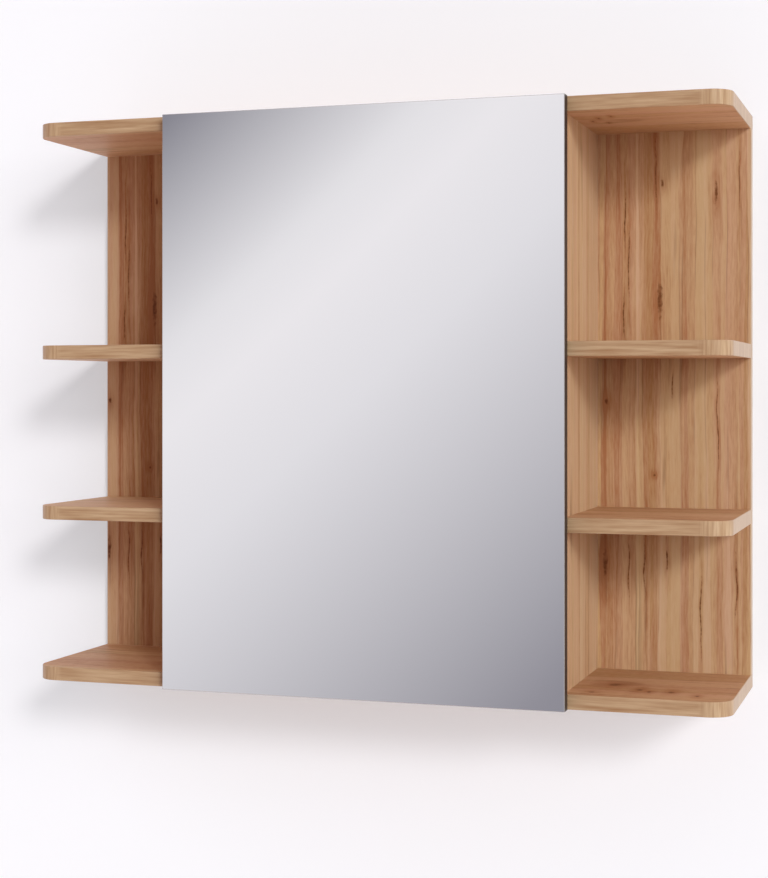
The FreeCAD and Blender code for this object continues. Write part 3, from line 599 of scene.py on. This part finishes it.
# Mirror: how far forward its faces look, from the ground edge to the face, the ground edge's colour,
# and the size of the faint haze on the face
GLASS_LEAN = (-0.5, -0.95)
GROUND_EDGE = "#2b2724"
HAZE_MM = 90.0

# Pressed texture of the dark boards, and how far it lightens and darkens them
WEAVE_MM = 1.2
WEAVE_CONTRAST = 0.2

# Plating scatters part of the light evenly, so fittings look light in the cabinet's shade
PLATING_METALLIC = 0.75

# How much rougher the pale strands of fibre stock are than the dark ones
STRAND_ROUGHNESS = 0.15


def silvered_glass(door):
    """Float glass silvered on the back, with ground edges.

    The face is a clear mirror with a softer arris round it, and the ground edges look dark.
    """
    material, tree = new_material("Silvered float glass")
    coords = add_node(tree, "ShaderNodeTexCoord")
    ahead = add_node(tree, "ShaderNodeSeparateXYZ", {"Vector": coords.outputs["Normal"]})
    face = add_node(tree, "ShaderNodeMapRange", {
        "Value": ahead.outputs["Y"], "From Min": GLASS_LEAN[0],
        "From Max": GLASS_LEAN[1]}).outputs["Result"]
    haze = add_node(tree, "ShaderNodeTexNoise", {
        "Vector": coords.outputs["Object"], "Scale": 1 / (HAZE_MM * MM), "Detail": 3.0})
    face_rough = add_node(tree, "ShaderNodeMapRange", {
        "Value": haze.outputs["Fac"], "To Min": 0.0, "To Max": 0.03})
    rough = add_node(tree, "ShaderNodeMapRange", {
        "Value": face, "To Min": 0.3, "To Max": face_rough.outputs["Result"]})
    colour = add_node(tree, "ShaderNodeMix", {
        MIX_FACTOR: face, MIX_A: opaque(linear(GROUND_EDGE)), MIX_B: opaque(door.silver)},
        data_type="RGBA")
    surface(tree, {"Base Color": colour.outputs[MIX_RESULT], "Metallic": face,
                   "Roughness": rough.outputs["Result"]})
    return material


def dark_laminate(name, colour):
    """Dark brown melamine, pressed with a fine linen texture: even and nearly matt."""
    material, tree = new_material(name)
    coords = add_node(tree, "ShaderNodeTexCoord")
    weave = add_node(tree, "ShaderNodeTexNoise", {
        "Vector": coords.outputs["Object"], "Scale": 1 / (WEAVE_MM * MM), "Detail": 3.0})
    tint = add_node(tree, "ShaderNodeValToRGB", {"Fac": weave.outputs["Fac"]}, stops=(
        (0.3, [c * (1 - WEAVE_CONTRAST) for c in colour]),
        (0.7, [c * (1 + WEAVE_CONTRAST) for c in colour])))
    rough = add_node(tree, "ShaderNodeMapRange", {
        "Value": weave.outputs["Fac"], "To Min": 0.42, "To Max": 0.58})
    bump = add_node(tree, "ShaderNodeBump", {
        "Height": weave.outputs["Fac"], "Strength": 0.1, "Distance": 0.2 * MM})
    surface(tree, {"Base Color": tint.outputs["Color"], "Roughness": rough.outputs["Result"],
                   "Normal": bump.outputs["Normal"], "IOR": 1.5})
    return material


def plated_steel(name, dull, bright, rough_range, grain_mm):
    """Stamped steel with a plated skin: soft shine, broken by fine rolling marks."""
    material, tree = new_material(name)
    coords = add_node(tree, "ShaderNodeTexCoord")
    cloud = add_node(tree, "ShaderNodeTexNoise", {
        "Vector": coords.outputs["Object"], "Scale": 1 / (grain_mm * MM), "Detail": 4.0,
        "Roughness": 0.6})
    tint = add_node(tree, "ShaderNodeValToRGB", {"Fac": cloud.outputs["Fac"]}, stops=(
        (0.3, linear(dull)), (0.7, linear(bright))))
    rough = add_node(tree, "ShaderNodeMapRange", {
        "Value": cloud.outputs["Fac"], "To Min": rough_range[1], "To Max": rough_range[0]})
    bump = add_node(tree, "ShaderNodeBump", {
        "Height": cloud.outputs["Fac"], "Strength": 0.05, "Distance": 0.1 * MM})
    surface(tree, {"Base Color": tint.outputs["Color"], "Metallic": PLATING_METALLIC,
                   "Roughness": rough.outputs["Result"], "Normal": bump.outputs["Normal"]})
    return material


def fibrous(name, dark, light, rough, fibre_mm):
    """Pressed or turned fibre stock: matt, with short strands of two tones."""
    material, tree = new_material(name)
    coords = add_node(tree, "ShaderNodeTexCoord")
    strand = add_node(tree, "ShaderNodeTexNoise", {
        "Vector": coords.outputs["Object"], "Scale": 1 / (fibre_mm * MM), "Detail": 5.0,
        "Roughness": 0.7, "Distortion": 1.5})
    tint = add_node(tree, "ShaderNodeValToRGB", {"Fac": strand.outputs["Fac"]}, stops=(
        (0.3, linear(dark)), (0.7, linear(light))))
    bump = add_node(tree, "ShaderNodeBump", {
        "Height": strand.outputs["Fac"], "Strength": 0.15, "Distance": 0.3 * MM})
    roughness = add_node(tree, "ShaderNodeMapRange", {
        "Value": strand.outputs["Fac"], "To Min": rough, "To Max": rough + STRAND_ROUGHNESS})
    surface(tree, {"Base Color": tint.outputs["Color"], "Roughness": roughness.outputs["Result"],
                   "Normal": bump.outputs["Normal"]})
    return material


class CABINET_OT_mirror_door(bpy.types.Operator):
    """Dresses the mirror, its board and its edge"""

    bl_idname = "cabinet.mirror_door"
    bl_label = "Mirror door"

    def execute(self, context):
        door = context.scene.cabinet_door
        dress(["mirror_glass"], silvered_glass(door))
        dress(["door_panel"], dark_laminate("Dark pressed melamine", door.board))
        dress(["door_edging"], dark_laminate("Dark ABS edge band", door.board))
        dress(["mirror_tape"], fibrous("Foam tape", "#b9b7b2", "#d6d4cf", 0.7, 1.0))
        dress(["door_bumpers"], fibrous("Moulded clear silicone", "#c9cbcb", "#e2e3e3", 0.25, 4.0))
        return {"FINISHED"}


class CABINET_OT_fittings(bpy.types.Operator):
    """Dresses the hinges, hangers, cams, screws, dowels and the back sheet"""

    bl_idname = "cabinet.fittings"
    bl_label = "Fittings"

    def execute(self, context):
        nickel = plated_steel("Stamped nickel-plated steel", "#cdcac4", "#dedbd5", (0.34, 0.42), 1.5)
        zinc = plated_steel("Zinc-plated steel", "#8f9498", "#c3c7ca", (0.32, 0.5), 5.0)
        hinge = [f"{level}_{piece}" for level in LEVELS
                 for piece in ("hinge_plate", "hinge_arm", "outer_link", "inner_link", "hinge_cup")]
        hinge += ["hinge_arm_pins", "hinge_clamp_screws", "hinge_plate_screws", "inner_link_pins",
                  "cup_pins", "cup_screws"]
        dress(hinge, nickel)
        dress(["cam_locks", "cam_bolts", "panel_screws", "shelf_pins", "hanger_screws"], zinc)
        dress([f"{side}_hanger_plate" for side in SIDES], zinc)
        dress(["dowels"], fibrous("Turned beech", "#c79d70", "#ddb98c", 0.55, 6.0))
        dress(["centre_back_sheet"], fibrous("Pressed hardboard", "#8a6444", "#a67c57", 0.6, 5.0))
        return {"FINISHED"}


# Stage

# Wall and floor in metres. The gap keeps the wall clear of the cabinet's rear face
STAGE_WIDTH = 8.0
WALL_HEIGHT = 5.0
WALL_GAP = 0.0005
FLOOR_DEPTH = 2.6
FLOOR_LEVEL = -1.8

# Distances from the cabinet's middle between which the wall's glow grows, in metres
GLOW_REACH = (0.4, 0.65)


def flat_sheet(name, corner, along, up):
    """Makes a flat sheet: its corner plus none or all of each of two edges, at four points."""
    shares = np.array([(0, 0), (1, 0), (1, 1), (0, 1)], float)
    points = np.array(corner) + shares @ np.array([along, up], float)
    mesh = bpy.data.meshes.new(name)
    mesh.from_pydata(points.tolist(), [], [(0, 1, 2, 3)])
    sheet = bpy.data.objects.new(name, mesh)
    bpy.context.scene.collection.objects.link(sheet)
    return sheet


def wall_paint(stage):
    """Matt white wall paint that shows only from the room side and glows a little, as a lit wall."""
    material, tree = new_material("Rolled white wall paint")
    coords = add_node(tree, "ShaderNodeTexCoord")
    away = add_node(tree, "ShaderNodeVectorMath", {
        0: coords.outputs["Object"], 1: CABINET_MIDDLE}, operation="DISTANCE")
    strength = add_node(tree, "ShaderNodeMapRange", {
        "Value": away.outputs["Value"], "From Min": GLOW_REACH[0], "From Max": GLOW_REACH[1],
        "To Min": stage.glow, "To Max": stage.glow + stage.glow_lift})
    paint = add_node(tree, "ShaderNodeBsdfDiffuse", {"Color": opaque(stage.wall)})
    glow = add_node(tree, "ShaderNodeEmission", {
        "Color": opaque(stage.glow_tint), "Strength": strength.outputs["Result"]})
    lit = add_node(tree, "ShaderNodeAddShader", {0: paint.outputs[0], 1: glow.outputs[0]})
    clear = add_node(tree, "ShaderNodeBsdfTransparent")
    side = add_node(tree, "ShaderNodeNewGeometry")
    mixed = add_node(tree, "ShaderNodeMixShader", {
        0: side.outputs["Backfacing"], 1: lit.outputs[0], 2: clear.outputs[0]})
    add_node(tree, "ShaderNodeOutputMaterial", {"Surface": mixed.outputs[0]})
    return material


# Way across the bright band that gloss sees, how far along it the band's colours reach, and the colours
BAND_WAY = (0.7071, 0.0, -0.7071)
BAND_REACH = 0.9
BAND_COLOURS = (
    (0.0, "#e8e6e8"), (0.2, "#a09fa8"), (0.275, "#8a8993"), (0.326, "#efedf0"), (0.343, "#f6f3f6"),
    (0.375, "#ebe9ed"), (0.483, "#97959e"), (0.54, "#8b8a93"), (0.62, "#dcdadd"), (1.0, "#f2f0f2"),
)

# Lit wall as gloss sees it, and the white that the camera sees past wall and floor
WALL_IN_GLOSS = "#f4f1f4"
BACKDROP = "#fdfbfd"

# How far towards the wall a way has to lean to see it, from not at all to fully
WALL_LEAN = (-0.02, 0.08)

# Soft light from before and from behind the wall's plane: an axis, a way along it, and the strength
# straight along it
FILL_AHEAD = (("X", -1.0, 0.28), ("Z", 1.0, 1.0), ("Z", -1.0, 1.08))
FILL_BEHIND = (("X", -1.0, 0.93), ("X", 1.0, 0.71), ("Z", 1.0, 1.0), ("Z", -1.0, 1.8))


def soft_light(tree, way, lobes, fill):
    """Adds up lobes of light, each growing evenly from its axis's middle plane to its full strength."""
    strength = 0.0
    for axis, sign, share in lobes:
        lobe = add_node(tree, "ShaderNodeMapRange", {
            "Value": way.outputs[axis], "From Max": sign, "To Max": share * fill})
        strength = add_node(tree, "ShaderNodeMath", {
            0: lobe.outputs["Result"], 1: strength}, operation="ADD").outputs[0]
    return strength


def studio_world(stage):
    """White studio: a soft fill, mostly from ceiling and floor, and a soft diagonal band for gloss.

    The band lies where a mirror on the wall shows the room to a viewer on its right. From behind
    the wall's plane comes the light that a lit wall gives back.
    """
    world = bpy.data.worlds.new("Studio")
    world.use_nodes = True
    tree = world.node_tree
    tree.nodes.clear()
    coords = add_node(tree, "ShaderNodeTexCoord")
    way = add_node(tree, "ShaderNodeSeparateXYZ", {"Vector": coords.outputs["Generated"]})
    across = add_node(tree, "ShaderNodeVectorMath", {
        0: coords.outputs["Generated"], 1: BAND_WAY}, operation="DOT_PRODUCT")
    band_place = add_node(tree, "ShaderNodeMapRange", {
        "Value": across.outputs["Value"], "From Min": -BAND_REACH, "From Max": BAND_REACH})
    band = add_node(tree, "ShaderNodeValToRGB", {"Fac": band_place.outputs["Result"]}, stops=[
        (stop, linear(colour)) for stop, colour in BAND_COLOURS])
    behind = add_node(tree, "ShaderNodeMapRange", {
        "Value": way.outputs["Y"], "From Min": WALL_LEAN[0], "From Max": WALL_LEAN[1]}).outputs["Result"]
    gloss_colour = add_node(tree, "ShaderNodeMix", {
        MIX_FACTOR: behind, MIX_A: band.outputs["Color"], MIX_B: opaque(linear(WALL_IN_GLOSS))},
        data_type="RGBA")
    light_path = add_node(tree, "ShaderNodeLightPath")
    fill_share = add_node(tree, "ShaderNodeMapRange", {
        "Value": behind, "To Min": soft_light(tree, way, FILL_AHEAD, stage.fill),
        "To Max": soft_light(tree, way, FILL_BEHIND, stage.fill)})
    fill_colour = add_node(tree, "ShaderNodeMix", {
        MIX_FACTOR: behind, MIX_A: opaque(stage.fill_tint), MIX_B: opaque(stage.bounce_tint)},
        data_type="RGBA")
    fill = add_node(tree, "ShaderNodeBackground", {
        "Color": fill_colour.outputs[MIX_RESULT], "Strength": fill_share.outputs["Result"]})
    gloss = add_node(tree, "ShaderNodeBackground", {"Color": gloss_colour.outputs[MIX_RESULT]})
    white = add_node(tree, "ShaderNodeBackground", {"Color": opaque(linear(BACKDROP))})
    lit = add_node(tree, "ShaderNodeMixShader", {
        0: light_path.outputs["Is Glossy Ray"], 1: fill.outputs[0], 2: gloss.outputs[0]})
    clear = add_node(tree, "ShaderNodeMath", {
        0: light_path.outputs["Is Camera Ray"], 1: light_path.outputs["Is Transmission Ray"]},
        operation="MAXIMUM")
    seen = add_node(tree, "ShaderNodeMixShader", {
        0: clear.outputs[0], 1: lit.outputs[0], 2: white.outputs[0]})
    add_node(tree, "ShaderNodeOutputWorld", {"Surface": seen.outputs[0]})
    return world


class CABINET_OT_stage(bpy.types.Operator):
    """Makes the wall, the floor, the light and the camera"""

    bl_idname = "cabinet.stage"
    bl_label = "Stage"

    def execute(self, context):
        stage = context.scene.cabinet_stage
        paint = wall_paint(stage)
        left, along = -STAGE_WIDTH / 2, (STAGE_WIDTH, 0.0, 0.0)
        wall = flat_sheet("wall", (left, WALL_GAP, FLOOR_LEVEL), along, (0.0, 0.0, WALL_HEIGHT))
        floor = flat_sheet("floor", (left, -FLOOR_DEPTH, FLOOR_LEVEL), along, (0.0, FLOOR_DEPTH, 0.0))
        for sheet in (wall, floor):
            sheet.data.materials.append(paint)
            sheet.visible_diffuse = False
            sheet.visible_shadow = False
            sheet.visible_glossy = False
        context.scene.world = studio_world(stage)

        for name, way, width_deg, share in LAMPS:
            light = bpy.data.lights.new(name, "SUN")
            light.angle = math.radians(width_deg)
            light.energy = stage.key * share
            light.color = stage.key_tint
            lamp = bpy.data.objects.new(name, light)
            lamp.rotation_euler = Vector(way).to_track_quat("Z", "Y").to_euler()
            lamp.visible_glossy = False
            context.scene.collection.objects.link(lamp)

        lens = bpy.data.cameras.new("camera")
        lens.sensor_width = SENSOR_MM
        lens.lens = SENSOR_MM * FOCAL_PX / FRAME_HEIGHT_PX
        lens.shift_y = (HORIZON_PX - FRAME_HEIGHT_PX / 2) / FRAME_HEIGHT_PX
        camera = bpy.data.objects.new("camera", lens)
        camera.location = CAMERA_PLACE
        camera.rotation_euler = (math.pi / 2, 0.0, math.radians(CAMERA_YAW_DEG))
        context.scene.collection.objects.link(camera)
        context.scene.camera = camera
        context.scene.view_settings.view_transform = "Standard"
        return {"FINISHED"}


SETTINGS = {"cabinet_oak": CabinetOak, "cabinet_door": CabinetDoor, "cabinet_stage": CabinetStage}
OPERATORS = (
    CABINET_OT_oak_boards,
    CABINET_OT_edge_bands,
    CABINET_OT_mirror_door,
    CABINET_OT_fittings,
    CABINET_OT_stage,
)


class CABINET_PT_looks(bpy.types.Panel):
    """Lists the cabinet's finishing steps"""

    bl_idname = "CABINET_PT_looks"
    bl_label = "Mirror cabinet"
    bl_space_type = "VIEW_3D"
    bl_region_type = "UI"
    bl_category = "Cabinet"

    def draw(self, context):
        for operator in OPERATORS:
            self.layout.operator(operator.bl_idname)
        for settings in SETTINGS:
            group = getattr(context.scene, settings)
            for name in group.__annotations__:
                self.layout.prop(group, name)


CLASSES = (*SETTINGS.values(), *OPERATORS, CABINET_PT_looks)


def register():
    for cls in CLASSES:
        bpy.utils.register_class(cls)
    for name, group in SETTINGS.items():
        setattr(bpy.types.Scene, name, PointerProperty(type=group))


def unregister():
    for name in SETTINGS:
        delattr(bpy.types.Scene, name)
    for cls in reversed(CLASSES):
        bpy.utils.unregister_class(cls)


def main():
    register()
    bpy.ops.cabinet.oak_boards()
    bpy.ops.cabinet.edge_bands()
    bpy.ops.cabinet.mirror_door()
    bpy.ops.cabinet.fittings()
    bpy.ops.cabinet.stage()


if __name__ == "__main__":
    main()
